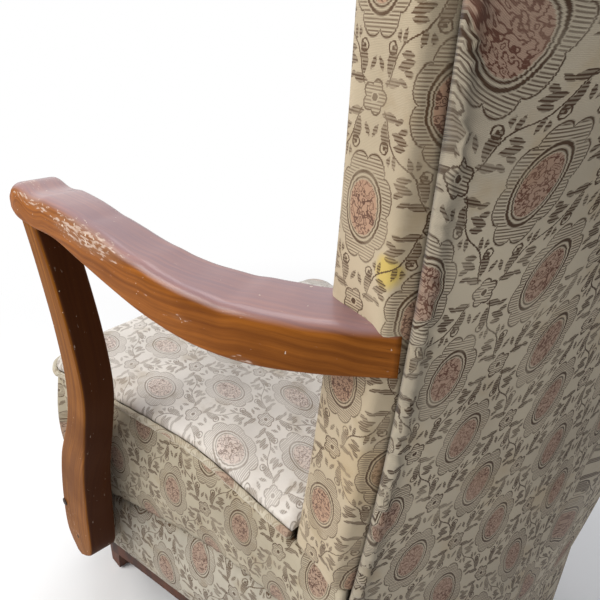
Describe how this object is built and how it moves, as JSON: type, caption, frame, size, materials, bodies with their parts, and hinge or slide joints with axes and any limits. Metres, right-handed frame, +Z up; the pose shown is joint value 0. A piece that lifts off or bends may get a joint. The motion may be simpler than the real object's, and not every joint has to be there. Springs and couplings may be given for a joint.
{
  "type": "upholstered armchair",
  "caption": "Old sprung armchair with a sagging seat, a tall bowed back in worn medallion jacquard, and scuffed curved wooden arms on flat posts.",
  "frame": {"origin": "centre of the bounding box in plan, at floor level", "axes": "+Z up, the chair faces -Y, +X is the sitter's left"},
  "size_m": [0.71, 0.8158, 1.0593],
  "materials": {
    "show_wood": "worn satin varnish",
    "dark_wood": "dark stain",
    "frame_wood": "bare sawn beech",
    "jacquard": "ribbed woven cover with a medallion pattern, stained",
    "hessian": "plain coarse weave",
    "stuffing": "packed fibre",
    "webbing": "jute strap",
    "black_cloth": "thin dust cloth",
    "steel": "dull",
    "screw_steel": "dark, oxidised"
  },
  "bodies": {
    "root": {"arm_left": "show_wood", "arm_post_left": "show_wood", "arm_post_right": "show_wood", "arm_right": "show_wood", "back_hessian": "hessian", "back_lower_rail": "frame_wood", "back_side_border_left": "jacquard", "back_side_border_right": "jacquard", "back_top_border": "jacquard", "back_top_rail": "frame_wood", "back_upright_left": "frame_wood", "back_upright_right": "frame_wood", "back_web_1": "webbing", "back_web_2": "webbing", "back_web_3": "webbing", "back_web_4": "webbing", "base_cloth": "black_cloth", "corner_block_left": "frame_wood", "corner_block_right": "frame_wood", "front_glide_left": "steel", "front_glide_right": "steel", "front_leg_left": "dark_wood", "front_leg_right": "dark_wood", "front_rail": "dark_wood", "inside_back": "jacquard", "outside_back": "jacquard", "post_screw_left": "screw_steel", "post_screw_right": "screw_steel", "rear_glide_left": "steel", "rear_glide_right": "steel", "rear_rail": "frame_wood", "seat_border": "jacquard", "seat_hessian": "hessian", "seat_lower_band": "jacquard", "seat_spring_1": "steel", "seat_spring_2": "steel", "seat_spring_3": "steel", "seat_spring_4": "steel", "seat_spring_5": "steel", "seat_spring_6": "steel", "seat_spring_7": "steel", "seat_spring_8": "steel", "seat_spring_9": "steel", "seat_stuffing": "stuffing", "seat_top": "jacquard", "seat_web_cross_1": "webbing", "seat_web_cross_2": "webbing", "seat_web_cross_3": "webbing", "seat_web_long_1": "webbing", "seat_web_long_2": "webbing", "seat_web_long_3": "webbing", "seat_web_long_4": "webbing", "seat_welt": "jacquard", "side_rail_left": "dark_wood", "side_rail_right": "dark_wood"}
  },
  "joints": []
}
